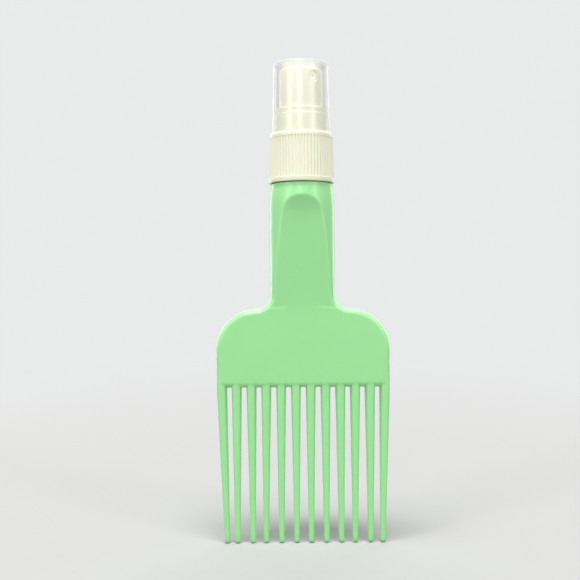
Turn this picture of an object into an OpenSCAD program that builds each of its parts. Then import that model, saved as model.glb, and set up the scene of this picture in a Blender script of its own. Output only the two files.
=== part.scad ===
// Afro pick with a spray handle: a moulded comb whose round hollow handle is a bottle, closed by a
// fine-mist pump sprayer under a clear hood. Sizes are in millimetres.
// The tooth tips stand on Z = 0 and the handle's axis is X = Y = 0. X runs along the blade, the front
// is -Y and the sprayer is at the top.

/* [Teeth] */
// Number of teeth
tooth_count = 12; // [9:1:13]
// From the tips up to the closed end of a gap, on the parting line
tooth_len = 66; // [50:1:80]
// Width of a tooth at its root, on the parting line
tooth_root_w = 4.2; // [3.4:0.1:4.6]
// Width of a tooth at its tip
tooth_tip_w = 2.3; // [1.6:0.1:3]
// Front-to-back depth of a tooth at its tip
tooth_tip_t = 2.5; // [1.8:0.1:3.6]
// Height of the rounded end of a tooth
tooth_tip_round = 1; // [0.5:0.1:2]
// How far the tips of the two end teeth lean inwards
end_tooth_lean = 1.45; // [0:0.05:2]
// Power of a tooth's lens-shaped section, where 2 is an ellipse
tooth_section_power = 2.6; // [2:0.1:4]

/* [Blade] */
// Width across the blade
blade_w = 73; // [68:0.5:80]
// From the closed end of the gaps up to the blade's top edge
blade_h = 33.35; // [28:0.05:40]
// Front-to-back thickness at the tooth roots
blade_root_t = 8.4; // [7:0.1:10]
// Front-to-back thickness just under the handle
blade_top_t = 11.8; // [10:0.1:13]
// Radius of the two shoulders
shoulder_r = 17; // [12:0.5:17]
// Radius of the rounded rim of each face
rim_r = 1.7; // [0.8:0.1:2.2]
// Height of the slope that closes each gap, from the parting line to a face
gap_bevel_h = 3; // [1:0.1:4]

/* [Handle] */
// Diameter of the handle
handle_d = 27.6; // [26.8:0.1:28.2]
// From the blade's top edge up to the handle's shoulder
handle_h = 52.3; // [50:0.1:60]
// Diameter at which the handle's shoulder turns in
handle_top_d = 25.5; // [25:0.1:26.2]
// Height over which the handle narrows to that diameter
handle_taper_h = 10.5; // [5:0.5:14]
// Radius of the flare between the handle's sides and the blade
flare_r = 5.75; // [4:0.25:5.75]
// Slope of the flats that cut the handle front and back, in degrees
flat_angle = 7.6; // [7.2:0.1:8.5]
// Radius of the cove that ends each flat at the top
cove_r = 18; // [12:0.5:20]
// Slope of the cove where it runs out through the handle's surface, in degrees
cove_end_angle = 33; // [26:1:42]

/* [Reservoir] */
// Diameter of the bore at the mouth
bore_d = 18.4; // [17:0.1:18.8]
// Diameter of the bore at the bottom
bore_bottom_d = 17.4; // [16:0.1:18]
// Wall left under each flat
flat_wall = 2.4; // [1.6:0.1:3]
// Floor of the reservoir above the blade's top edge
floor_rise = 4.5; // [3:0.5:12]

/* [Neck] */
// Diameter of the neck at the root of its thread
neck_d = 21.6; // [21.2:0.1:22]
// Diameter over the neck's thread
thread_d = 23.7; // [23.4:0.1:24]
// Height of the neck above the handle's shoulder
neck_h = 17.15; // [16:0.05:18.5]
// Chamfer round the mouth
neck_chamfer = 0.5; // [0.2:0.1:0.8]
// Rise of the thread in one turn
thread_pitch = 3.175; // [3:0.005:3.3]
// Turns of the thread
thread_turns = 1.5; // [1:0.25:2]

/* [Closure] */
// Outer diameter at the bottom
closure_d = 27.6; // [27.2:0.1:28.4]
// Outer diameter at the top of the ribbed skirt
closure_top_d = 26.8; // [26.6:0.1:27.2]
// Gap between the skirt's lower edge and the handle's shoulder
closure_gap = 0.25; // [0.1:0.05:0.5]
// Thickness of the ledge that holds the pump down
ledge_t = 1.4; // [1:0.1:2]
// Number of finger ribs
rib_count = 60; // [40:4:72]
// Radius of the groove between two ribs
groove_r = 0.5; // [0.35:0.05:0.6]
// Depth of the groove
groove_depth = 0.3; // [0.15:0.05:0.4]
// Plain band below the ribs
band_h = 1.9; // [1:0.1:4]
// Plain band above the ribs, with the rounded edge
top_band_h = 1.8; // [1.2:0.1:4]
// Rounding of the skirt's top edge
closure_round = 0.8; // [0.4:0.1:1]
// Height of the sleeve above the skirt, which the hood grips
sleeve_h = 7.9; // [6:0.1:9]
// Outer diameter of the ring on top of the sleeve
ring_d = 21.4; // [21:0.1:21.8]
// Height of that ring
ring_h = 2.6; // [1.5:0.1:3.5]
// Rounding of the ring's outer edge
ring_round = 0.6; // [0.3:0.1:0.9]

/* [Hood] */
// Outer diameter of the clear hood at its mouth
hood_d = 24.9; // [24.7:0.1:25.2]
// Outer diameter of the hood at its top
hood_top_d = 23.5; // [23.2:0.1:24.4]
// Wall of the hood
hood_wall = 0.9; // [0.7:0.05:1]
// Room between the actuator and the hood's top
hood_headroom = 1.6; // [0.8:0.1:4]
// Rounding of the hood's top edge
hood_round = 1; // [0.4:0.1:1.6]

/* [Actuator] */
// Outer diameter of the actuator
actuator_d = 18.2; // [17.6:0.1:18.4]
// Outer diameter at the actuator's top
actuator_top_d = 18; // [17.4:0.1:18.2]
// Top of the actuator above the closure's ring
actuator_h = 16.3; // [15:0.1:18]
// Wall of the actuator's skirt
actuator_wall = 1.2; // [1:0.1:1.6]
// Rounding of the actuator's top edge
actuator_round = 0.8; // [0.3:0.1:1.2]
// Thickness of the actuator's top at its edge
actuator_top_t = 2.2; // [1.8:0.1:3]
// Depth of the finger dish in the top
dish_depth = 0.7; // [0.3:0.1:0.7]
// Direction that the nozzle faces, in degrees to the right of the front
nozzle_turn = 35; // [0:5:350]
// Nozzle's centre below the actuator's top
nozzle_drop = 3.8; // [3.6:0.1:5]
// Diameter of the nozzle insert
insert_d = 4.4; // [3.6:0.1:4.6]
// Length of the nozzle insert
insert_l = 3.2; // [2.4:0.1:3.6]
// Diameter of the spray orifice
orifice_d = 0.4; // [0.3:0.05:0.8]

/* [Pump] */
// Travel of the actuator
stroke = 5.2; // [3.5:0.1:5.6]
// Bore of the pump's barrel
barrel_bore_d = 6.2; // [5.8:0.1:6.6]
// Wall of the barrel
barrel_wall = 1.3; // [1:0.1:1.6]
// Diameter of the pump's flange
flange_d = 21.2; // [20.6:0.1:21.6]
// Thickness of the flange
flange_t = 1.2; // [0.8:0.1:1.6]
// Thickness of the gasket under the flange
gasket_t = 1; // [0.6:0.1:1.5]
// Inner diameter of the gasket
gasket_bore_d = 16; // [14:0.5:17.5]
// Outer diameter of the collar that closes the pump
collar_d = 13.6; // [13:0.1:14]
// Height of the collar above the flange
collar_h = 5.2; // [4:0.1:5.6]
// Wall of the collar
collar_wall = 1.2; // [0.9:0.1:1.5]
// Outer diameter of the stem
stem_d = 3.8; // [3.4:0.1:4]
// Bore of the stem
stem_bore_d = 2; // [1.6:0.1:2.2]
// Travel of the stem before it moves the piston, which opens the ports
lost_motion = 0.8; // [0.6:0.1:1]
// Length of the piston
piston_l = 3.9; // [3.2:0.1:4.5]
// Diameter of the valve ball
ball_d = 3; // [2.6:0.1:3.2]
// Rise of the ball from its seat
ball_lift = 0.8; // [0.4:0.1:1.2]
// Outer diameter of the dip tube
tube_d = 3.2; // [2.8:0.1:3.4]
// Bore of the dip tube
tube_bore_d = 2; // [1.4:0.1:2.2]
// Gap between the dip tube's end and the reservoir's floor
tube_end_gap = 1.6; // [1:0.1:4]

/* [Spring] */
// Diameter of the spring's wire
wire_d = 0.6; // [0.5:0.05:0.65]
// Number of coils
coil_count = 7; // [5:0.5:8]
// Length of the spring at rest
spring_l = 11; // [10.5:0.1:12]

/* [Hidden] */
$fn = 96;

// Overrun of a cutting tool past the surface that it cuts
cut = 1;
// Gap on the radius between a moving round piece and its bore
run_gap = 0.04;
// Gap on the radius between two pieces that are pushed together
push_gap = 0.02;
// Gap at the end of a travel, between faces that would otherwise press on each other
stop_gap = 0.05;
// Gap on the radius between the neck's thread and the closure
thread_gap = 0.4;
// Gap on the radius between the hood and the sleeve that it grips
hood_gap = 0.1;
// Gap on the radius between the actuator and the sleeve that it dips into
actuator_gap = 0.4;
// Gap left under the actuator when it is pressed home
press_gap = 0.4;
// Gap on the radius round the collar where it passes the ledge
collar_gap = 0.3;

// Heights, from the tooth tips up
blade_top_z = tooth_len + blade_h;
shoulder_z = blade_top_z + handle_h;
floor_z = blade_top_z + floor_rise;
mouth_z = shoulder_z + neck_h;
flange_z = mouth_z + gasket_t;
flange_top_z = flange_z + flange_t;
closure_z = shoulder_z + closure_gap;
closure_top_z = flange_top_z + ledge_t;
sleeve_top_z = closure_top_z + sleeve_h;
ring_top_z = sleeve_top_z + ring_h;
actuator_top_z = ring_top_z + actuator_h;
hood_top_z = actuator_top_z + hood_headroom + hood_wall;

// A round stretch of an outline: points on a circle from one angle to another
function arc(centre, r, from, to, steps) = [
    for (i = [0 : steps])
    let (a = from + (to - from) * i / steps)
    centre + r * [cos(a), sin(a)]
];

/* Threads */

// Rings of points in one turn of a thread, and how many of them its ends take to fade out
thread_rings = 24;
thread_fade = 3;
// How far a thread's root goes into its wall
thread_bury = 0.3;
// Width of a thread's crest as a share of its root
crest_share = 0.45;
neck_thread_w = 2.1;
closure_thread_w = 1.5;
// From the mouth down to the neck thread's upper end
thread_start = 2.2;
// Centre of the neck's thread where it starts, at its lower end on the +X side
neck_thread_z = mouth_z - thread_start - thread_turns * thread_pitch;
// The closure's thread pulls up against the neck's from below, and overlaps it by this much in radius
thread_drop = 1.25;
thread_hold = 0.55;
closure_minor_r = thread_d / 2 - thread_hold;

/* Comb body */

// An end tooth is this far inside the blade's side at its root
edge_inset = 0.05;
tooth_pitch = (blade_w - tooth_root_w - 2 * edge_inset) / (tooth_count - 1);
// How far a tooth reaches into the blade above the slopes that close the gaps
tooth_embed = 2;
tooth_sides = 16;
rim_steps = 5;

// Lean of each face of the blade from the parting plane, and half the blade's thickness at a height
blade_angle = atan((blade_top_t - blade_root_t) / 2 / blade_h);
function blade_half_t(z) = blade_root_t / 2 + (z - tooth_len) * tan(blade_angle);
// Height of a face, measured along it, that brings the blade's top edge to blade_top_z
face_h = (blade_h - blade_root_t / 2 * tan(blade_angle)) * cos(blade_angle);

// Each flat would meet the blade's face just above the blade's rounded rim, so it comes out of that rim
// and ends at the top in a cove
handle_r = handle_d / 2;
flat_z = blade_top_z + rim_r;
cove_drop = cove_r * (cos(flat_angle) - cos(cove_end_angle));
cove_foot_y = handle_r - cove_drop;
cove_foot_z = flat_z + (cove_foot_y - blade_half_t(flat_z)) / tan(flat_angle);
cove_steps = 8;
function flat_half_t(z) = blade_half_t(flat_z) + (z - flat_z) * tan(flat_angle);

// Centre of the flare's circle, seen from the front. The flare's end sinks a little into the blade.
flare_sink = 0.08;
flare_x = handle_r + flare_r;
flare_z = blade_top_z + flare_r - flare_sink;
flare_band = 5;
barrel_overlap = 0.5;
// Half width of the block between the two flares, as a share of the handle's radius
core_share = 0.86;

// Half of a lens-shaped section at an angle round it
function lens(w, t, a) = [
    w / 2 * sign(cos(a)) * pow(abs(cos(a)), 2 / tooth_section_power),
    t / 2 * sign(sin(a)) * pow(abs(sin(a)), 2 / tooth_section_power)
];

// One tooth as a loft, from [height, width, depth, lean] at each of its sections
module tooth(x, lean) {
    tip_angles = [25, 55, 90];
    root_z = tooth_len + gap_bevel_h + tooth_embed;
    sections = concat(
        [for (a = tip_angles) [
            a == tip_angles[0] ? 0 : tooth_tip_round * (1 - cos(a)),
            tooth_tip_w * sin(a),
            tooth_tip_t * sin(a),
            lean
        ]],
        [
            [tooth_len, tooth_root_w, blade_root_t, 0],
            [root_z, tooth_root_w, blade_root_t, 0]
        ]
    );
    n = tooth_sides;
    points = [
        for (s = sections, i = [0 : n - 1])
        let (p = lens(s[1], s[2], (i + 1 / 2) * 360 / n))
        [x + s[3] + p[0], p[1], s[0]]
    ];
    sides = [
        for (k = [0 : len(tip_angles)], i = [0 : n - 1])
        let (j = (i + 1) % n)
        each [[k * n + j, k * n + i, (k + 1) * n + i], [k * n + j, (k + 1) * n + i, (k + 1) * n + j]]
    ];
    polyhedron(points, concat(
        [[for (i = [0 : n - 1]) i]],
        sides,
        [[for (i = [n : -1 : 1]) len(points) - i]]
    ));
}

module teeth() {
    first_x = -(tooth_count - 1) / 2 * tooth_pitch;
    for (i = [0 : tooth_count - 1]) {
        end_lean = i == 0 ? end_tooth_lean : i == tooth_count - 1 ? -end_tooth_lean : 0;
        tooth(first_x + i * tooth_pitch, end_lean);
    }
}

// Half section of the plate: out to the rounded rim, on the side that the face is on
function rim_points(edge) = arc([edge - rim_r, -rim_r], rim_r, 0, 90, rim_steps);

// One face's half of the blade, lying in plan: X across, Y up the face, the face on Z = 0
module blade_plan() {
    depth = blade_top_t;
    half_w = blade_w / 2;
    side = concat([[0, -depth], [half_w, -depth]], rim_points(half_w), [[0, 0]]);
    shoulder = concat([[0, -depth], [shoulder_r, -depth]], rim_points(shoulder_r), [[0, 0]]);
    centre = [half_w - shoulder_r, face_h - shoulder_r];
    for (m = [0, 1]) mirror([m, 0, 0]) {
        translate([0, centre[1], 0])
            rotate([90, 0, 0])
                linear_extrude(centre[1] + cut) polygon(side);
        translate([centre[0], centre[1], 0])
            rotate_extrude(angle = 90) polygon(shoulder);
        translate([0, centre[1], 0])
            rotate([90, 0, 90])
                linear_extrude(centre[0]) polygon(shoulder);
    }
}

// The front half of the blade, leaning to its draft, with the slopes that close the gaps
module blade_half() {
    slope = gap_bevel_h / blade_half_t(tooth_len + gap_bevel_h);
    reach = blade_top_t;
    difference() {
        translate([0, -blade_root_t / 2, tooth_len])
            rotate([90 + blade_angle, 0, 0])
                blade_plan();
        translate([-blade_w, 0, 0])
            cube([2 * blade_w, 2 * blade_top_t, 2 * blade_top_z]);
        rotate([90, 0, 90])
            linear_extrude(2 * blade_w, center = true)
                polygon([
                    [cut, tooth_len],
                    [0, tooth_len],
                    [-reach, tooth_len + reach * slope],
                    [-reach, tooth_len - reach],
                    [cut, tooth_len - reach]
                ]);
    }
}

// The round handle above the flares, with its shoulder. Its lower end goes down into the flares.
module handle_barrel() {
    foot_z = flare_z - barrel_overlap;
    drop = (handle_d - handle_top_d) / 2;
    taper_r = (pow(handle_taper_h, 2) + pow(drop, 2)) / 2 / drop;
    taper_end = asin(handle_taper_h / taper_r);
    taper = arc([handle_r - taper_r, shoulder_z - handle_taper_h], taper_r, 0, taper_end, 8);
    rotate_extrude()
        polygon(concat([[0, foot_z], [handle_r, foot_z]], taper, [[0, shoulder_z]]));
}

// Round-sided flares that carry the handle's section out into the blade, and the core between them
module handle_foot() {
    core = core_share * handle_r;
    for (m = [0, 1]) mirror([m, 0, 0])
        translate([flare_x, 0, flare_z])
            rotate([90, 0, 0])
                rotate([0, 0, 180])
                    rotate_extrude(angle = 90)
                        intersection() {
                            translate([flare_r + handle_r, 0]) circle(handle_r);
                            translate([flare_r, -handle_r]) square([flare_band, handle_d]);
                        }
    translate([-core, -handle_r, blade_top_z - flare_band])
        cube([2 * core, handle_d, flare_r + flare_band]);
}

// What a flat removes in front of the handle, seen from the side, with the cove at its top
module flat_tool() {
    low_z = blade_top_z - shoulder_r;
    cove_centre = [-cove_foot_y - cove_r * cos(flat_angle), cove_foot_z - cove_r * sin(flat_angle)];
    cove = arc(cove_centre, cove_r, flat_angle, cove_end_angle, cove_steps);
    rotate([90, 0, 90])
        linear_extrude(2 * flare_x, center = true)
            polygon(concat(
                [[-handle_d, low_z], [-flat_half_t(low_z), low_z]],
                cove,
                [[-handle_d, cove[cove_steps][1]]]
            ));
}

// The hollow inside the handle: a drafted bore that the two flats narrow to a wedge
module reservoir() {
    inside = [
        for (z = [floor_z, cove_foot_z])
        [-(flat_half_t(z) - flat_wall), z]
    ];
    top = mouth_z + cut;
    steep = [-handle_r, cove_foot_z + (handle_r + inside[1][0]) / tan(cove_end_angle)];
    outline = concat([[0, floor_z]], inside, [steep, [-handle_r, top], [0, top]]);
    intersection() {
        rotate_extrude()
            polygon([[0, floor_z], [bore_bottom_d / 2, floor_z], [bore_d / 2, top], [0, top]]);
        rotate([90, 0, 90])
            linear_extrude(2 * handle_d, center = true)
                union() {
                    polygon(outline);
                    mirror([1, 0]) polygon(outline);
                }
    }
}

// A helical thread: its root is buried in the wall at root_r, its crest stands out to crest_r, and it
// fades into the wall's own surface at both ends
module thread(root_r, wall_r, crest_r, start_z, turns, width) {
    rings = round(turns * thread_rings);
    crest_w = width * crest_share;
    points = [
        for (k = [0 : rings])
        let (
            a = k * 360 / thread_rings,
            z = start_z + k * thread_pitch / thread_rings,
            grow = min(1, k / thread_fade, (rings - k) / thread_fade),
            r = wall_r + (crest_r - wall_r) * grow
        )
        each [
            [root_r * cos(a), root_r * sin(a), z - width / 2],
            [r * cos(a), r * sin(a), z - crest_w / 2],
            [r * cos(a), r * sin(a), z + crest_w / 2],
            [root_r * cos(a), root_r * sin(a), z + width / 2]
        ]
    ];
    inward = crest_r < root_r;
    faces = concat(
        [[0, 1, 2, 3]],
        [
            for (k = [0 : rings - 1], i = [0 : 3])
            let (j = (i + 1) % 4, p = k * 4, q = p + 4)
            each [[p + i, q + i, p + j], [p + j, q + i, q + j]]
        ],
        [[rings * 4 + 3, rings * 4 + 2, rings * 4 + 1, rings * 4]]
    );
    polyhedron(points, inward ? faces : [for (f = faces) [for (i = [len(f) - 1 : -1 : 0]) f[i]]]);
}

module neck() {
    r = neck_d / 2;
    thread(r - thread_bury, r - thread_bury / 2, thread_d / 2, neck_thread_z, thread_turns, neck_thread_w);
    rotate_extrude()
        polygon([
            [0, shoulder_z - cut],
            [r, shoulder_z - cut],
            [r, mouth_z - neck_chamfer],
            [r - neck_chamfer, mouth_z],
            [0, mouth_z]
        ]);
}

module comb_body() {
    color("#9FE09B")
        difference() {
            union() {
                difference() {
                    union() {
                        handle_barrel();
                        handle_foot();
                    }
                    flat_tool();
                    mirror([0, 1, 0]) flat_tool();
                }
                blade_half();
                mirror([0, 1, 0]) blade_half();
                teeth();
                neck();
            }
            reservoir();
        }
}

/* Closure */

closure_r = closure_d / 2;
closure_bore_r = thread_d / 2 + thread_gap;
closure_h = closure_top_z - closure_z;
skirt_angle = atan((closure_d - closure_top_d) / 2 / closure_h);
function skirt_r(z) = closure_r - (z - closure_z) * tan(skirt_angle);
hood_angle = atan((hood_d - hood_top_d) / 2 / (hood_top_z - closure_top_z));
function hood_r(z) = hood_d / 2 - (z - closure_top_z) * tan(hood_angle);
function sleeve_r(z) = hood_r(z) - hood_wall - hood_gap;
sleeve_chamfer = 0.3;
rib_z = closure_z + band_h;
rib_top_z = closure_top_z - top_band_h;

module closure_shell() {
    top_r = skirt_r(closure_top_z - closure_round);
    ring_r = ring_d / 2;
    bore_r = actuator_d / 2 + actuator_gap;
    hole_r = collar_d / 2 + collar_gap;
    rotate_extrude()
        polygon(concat(
            [[closure_bore_r, closure_z], [closure_r, closure_z]],
            arc([top_r - closure_round, closure_top_z - closure_round], closure_round, 0, 90, 4),
            [
                [sleeve_r(closure_top_z), closure_top_z],
                [sleeve_r(sleeve_top_z - sleeve_chamfer), sleeve_top_z - sleeve_chamfer],
                [sleeve_r(sleeve_top_z) - sleeve_chamfer, sleeve_top_z],
                [ring_r, sleeve_top_z]
            ],
            arc([ring_r - ring_round, ring_top_z - ring_round], ring_round, 0, 90, 4),
            [
                [bore_r, ring_top_z],
                [bore_r, closure_top_z],
                [hole_r, closure_top_z],
                [hole_r, flange_top_z],
                [closure_bore_r, flange_top_z]
            ]
        ));
}

module rib_groove() {
    translate([skirt_r(rib_z) + groove_r - groove_depth, 0, rib_z])
        rotate([0, -skirt_angle, 0])
            cylinder(h = (rib_top_z - rib_z) / cos(skirt_angle), r = groove_r, $fn = 24);
}

module closure() {
    color("#F1F1E2")
        difference() {
            union() {
                closure_shell();
                thread(
                    closure_bore_r + thread_bury, closure_bore_r + thread_bury / 2, closure_minor_r,
                    neck_thread_z - thread_drop, thread_turns, closure_thread_w
                );
            }
            for (i = [0 : rib_count - 1]) rotate([0, 0, i * 360 / rib_count]) rib_groove();
        }
}

/* Hood */

module hood() {
    top_r = hood_r(hood_top_z - hood_round);
    ceiling_z = hood_top_z - hood_wall;
    inner_round = hood_round / 2;
    inner_r = hood_r(ceiling_z) - hood_wall;
    color("#E9EDEC", 0.5)
        rotate_extrude()
            polygon(concat(
                [[hood_d / 2 - hood_wall, closure_top_z], [hood_d / 2, closure_top_z]],
                arc([top_r - hood_round, hood_top_z - hood_round], hood_round, 0, 90, 6),
                [[0, hood_top_z], [0, ceiling_z]],
                arc([inner_r - inner_round, ceiling_z - inner_round], inner_round, 90, 0, 4)
            ));
}

/* Actuator and its nozzle insert */

actuator_z = closure_top_z + stroke + press_gap;
collar_top_z = flange_top_z + collar_h;
boss_z = collar_top_z + stroke + press_gap;
socket_depth = 4.5;
stem_top_z = boss_z + socket_depth;
boss_d = 6.4;
nozzle_z = actuator_top_z - nozzle_drop;
nozzle_wall = 0.7;
feed_d = 1;
pin_d = 2.4;
function actuator_r(z) =
    actuator_d / 2 - (z - actuator_z) * (actuator_d - actuator_top_d) / 2 / (actuator_top_z - actuator_z);
// The nozzle's pocket starts this far behind the actuator's side
nozzle_x = actuator_r(nozzle_z) - insert_l;
insert_recess = 0.3;
// Gap round the actuator's pin, through which the liquid reaches the orifice
swirl_gap = 0.2;
pin_l = insert_l - insert_recess - nozzle_wall - swirl_gap;
feed_rise = pin_d / 2;

module actuator_cap() {
    top_r = actuator_r(actuator_top_z - actuator_round);
    inner_z = actuator_top_z - actuator_top_t;
    dish_rim = top_r - actuator_round - actuator_wall / 2;
    dish_r = (pow(dish_rim, 2) + pow(dish_depth, 2)) / 2 / dish_depth;
    dish_angle = asin(dish_rim / dish_r);
    rotate_extrude()
        polygon(concat(
            [[actuator_r(actuator_z) - actuator_wall, actuator_z], [actuator_r(actuator_z), actuator_z]],
            arc([top_r - actuator_round, actuator_top_z - actuator_round], actuator_round, 0, 90, 4),
            arc([0, actuator_top_z - dish_depth + dish_r], dish_r, dish_angle - 90, -90, 6),
            [[0, inner_z], [actuator_r(inner_z) - actuator_wall, inner_z]]
        ));
    translate([0, 0, boss_z]) cylinder(h = inner_z - boss_z + cut, d = boss_d);
}

// Everything that runs out to the nozzle along +X, before it is turned to where it sprays
module toward_nozzle(x, z) {
    rotate([0, 0, nozzle_turn - 90]) translate([x, 0, z]) rotate([0, 90, 0]) children();
}

module actuator() {
    pocket_d = insert_d + 2 * push_gap;
    side_r = actuator_r(nozzle_z);
    color("#F7F7EC")
        difference() {
            union() {
                actuator_cap();
                toward_nozzle(0, nozzle_z) cylinder(h = side_r - nozzle_wall, d = pocket_d + 2 * nozzle_wall);
            }
            translate([0, 0, boss_z - cut]) cylinder(h = socket_depth + cut, d = stem_d + 2 * run_gap);
            translate([0, 0, stem_top_z - cut])
                cylinder(h = nozzle_z + feed_rise - stem_top_z + cut, d = feed_d);
            toward_nozzle(0, nozzle_z + feed_rise) cylinder(h = nozzle_x + cut / 2, d = feed_d);
            toward_nozzle(nozzle_x, nozzle_z)
                difference() {
                    cylinder(h = insert_l + cut, d = pocket_d);
                    translate([0, 0, -cut]) cylinder(h = cut + pin_l, d = pin_d);
                }
        }
}

module nozzle_insert() {
    color("#FFFFFF")
        toward_nozzle(nozzle_x, nozzle_z)
            difference() {
                cylinder(h = insert_l - insert_recess, d = insert_d);
                translate([0, 0, -cut])
                    cylinder(h = insert_l - insert_recess - nozzle_wall + cut, d = pin_d + 2 * swirl_gap);
                cylinder(h = insert_l + cut, d = orifice_d);
                translate([0, 0, insert_l - insert_recess - nozzle_wall / 2])
                    cylinder(h = nozzle_wall / 2 + push_gap, d1 = orifice_d, d2 = orifice_d + nozzle_wall);
            }
}

/* Pump, from the top down */

collar_top_t = 1.2;
barrel_r = barrel_bore_d / 2;
stem_r = stem_d / 2;
// The collar's inner sleeve reaches this far below the flange's top and stops the stem
collar_dip = 1.35;
stem_stop_z = flange_top_z - collar_dip;
stem_shoulder_t = 0.8;
stem_shoulder_z = stem_stop_z - stop_gap - stem_shoulder_t;
piston_top_z = stem_shoulder_z - lost_motion - stop_gap;
piston_z = piston_top_z - piston_l;
poppet_top_z = piston_z - stop_gap;
poppet_t = 1;
spring_top_z = poppet_top_z - poppet_t;
barrel_floor_z = spring_top_z - spring_l;
barrel_floor_t = 0.8;
cage_top_z = barrel_floor_z - barrel_floor_t;
ball_r = ball_d / 2;
ball_gap = 0.25;
ball_z = cage_top_z - ball_lift - ball_r;
// The ball rests in a cone of this slope, which would end in a tip below it
seat_angle = 45;
seat_tip_z = ball_z - (ball_r + push_gap) / cos(seat_angle);
inlet_d = 1.6;
tail_wall = 1.1;
socket_l = 7;
tube_top_z = seat_tip_z;
tail_z = tube_top_z - socket_l;

module pump_collar() {
    r = collar_d / 2;
    skirt_inner_r = r - collar_wall;
    bore_r = stem_r + run_gap;
    color("#F4F4EA")
        rotate_extrude()
            polygon([
                [bore_r, stem_stop_z],
                [barrel_r - push_gap, stem_stop_z],
                [barrel_r - push_gap, collar_top_z - collar_top_t],
                [skirt_inner_r, collar_top_z - collar_top_t],
                [skirt_inner_r, flange_top_z],
                [r, flange_top_z],
                [r, collar_top_z - collar_wall / 2],
                [r - collar_wall / 2, collar_top_z],
                [bore_r, collar_top_z]
            ]);
}

module pump_housing() {
    rim_outer = collar_d / 2 - collar_wall - push_gap;
    outer_r = barrel_r + barrel_wall;
    cage_r = ball_r + ball_gap;
    tube_r = tube_d / 2 + push_gap;
    tail_r = max(cage_r, tube_r) + tail_wall;
    hole_r = ball_r - barrel_floor_t / 2;
    vent_d = 0.8;
    color("#EDEEE6")
        difference() {
            rotate_extrude()
                polygon([
                    [tube_r, tail_z],
                    [tail_r, tail_z],
                    [tail_r, cage_top_z - outer_r + tail_r],
                    [outer_r, cage_top_z],
                    [outer_r, flange_z],
                    [flange_d / 2, flange_z],
                    [flange_d / 2, flange_top_z],
                    [rim_outer, flange_top_z],
                    [rim_outer, collar_top_z - collar_top_t],
                    [barrel_r, collar_top_z - collar_top_t],
                    [barrel_r, barrel_floor_z],
                    [hole_r, barrel_floor_z],
                    [hole_r, cage_top_z],
                    [cage_r, cage_top_z],
                    [cage_r, seat_tip_z + cage_r * tan(seat_angle)],
                    [inlet_d / 2, seat_tip_z + inlet_d / 2 * tan(seat_angle)],
                    [inlet_d / 2, tube_top_z],
                    [tube_r, tube_top_z]
                ]);
            translate([0, 0, piston_top_z - vent_d])
                rotate([0, 90, 0])
                    cylinder(h = outer_r + cut, d = vent_d, $fn = 24);
        }
}

module neck_gasket() {
    color("#D8DAD4")
        translate([0, 0, mouth_z])
            difference() {
                cylinder(h = gasket_t, d = flange_d);
                translate([0, 0, -cut]) cylinder(h = gasket_t + 2 * cut, d = gasket_bore_d);
            }
}

// The stem's solid foot plugs into the poppet, and its two ports open just above the poppet
plug_d = 2.2;
plug_l = 3.2;
port_d = 0.6;
port_z = poppet_top_z + lost_motion / 2 + push_gap;

module stem() {
    shoulder_r = barrel_r - barrel_wall / 2;
    color("#F6F6EE")
        difference() {
            union() {
                translate([0, 0, poppet_top_z]) cylinder(h = stem_top_z - poppet_top_z, d = stem_d);
                translate([0, 0, stem_shoulder_z]) cylinder(h = stem_shoulder_t, r = shoulder_r);
                translate([0, 0, poppet_top_z - plug_l]) cylinder(h = plug_l + cut, d = plug_d);
            }
            translate([0, 0, port_z - port_d / 2])
                cylinder(h = stem_top_z - poppet_top_z + cut, d = stem_bore_d);
            translate([0, 0, port_z])
                rotate([0, 90, 0])
                    cylinder(h = stem_d + cut, d = port_d, center = true, $fn = 24);
        }
}

module poppet() {
    tail_gap = 0.3;
    coil_inner_r = barrel_r - spring_gap - wire_d;
    tail_r = coil_inner_r - tail_gap;
    tail_l = spring_l - stroke - press_gap;
    color("#E4E7DF")
        translate([0, 0, spring_top_z])
            difference() {
                union() {
                    cylinder(h = poppet_t, r = barrel_r - spring_gap);
                    translate([0, 0, -tail_l]) cylinder(h = tail_l + poppet_t, r = tail_r);
                }
                translate([0, 0, poppet_t - plug_l - push_gap])
                    cylinder(h = plug_l + push_gap + cut, d = plug_d + 2 * push_gap);
            }
}

module piston() {
    r = barrel_r - run_gap;
    waist = 0.35;
    lip_h = 0.8;
    bore_r = stem_r + run_gap;
    color("#DDE4EA")
        rotate_extrude()
            polygon([
                [bore_r, piston_z],
                [r, piston_z],
                [r, piston_z + lip_h],
                [r - waist, piston_z + lip_h + waist],
                [r - waist, piston_top_z - lip_h - waist],
                [r, piston_top_z - lip_h],
                [r, piston_top_z],
                [bore_r, piston_top_z]
            ]);
}

/* Return spring: one unbroken helix of round wire */

spring_gap = 0.4;
coil_r = barrel_r - spring_gap - wire_d / 2;
coil_rise = (spring_l - wire_d - 2 * stop_gap) / coil_count;
coil_rings = 8;
wire_sides = 6;
helix_angle = atan(coil_rise / (2 * PI * coil_r));
echo(spring_least_gap = coil_rise * cos(helix_angle) - wire_d);

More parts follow.
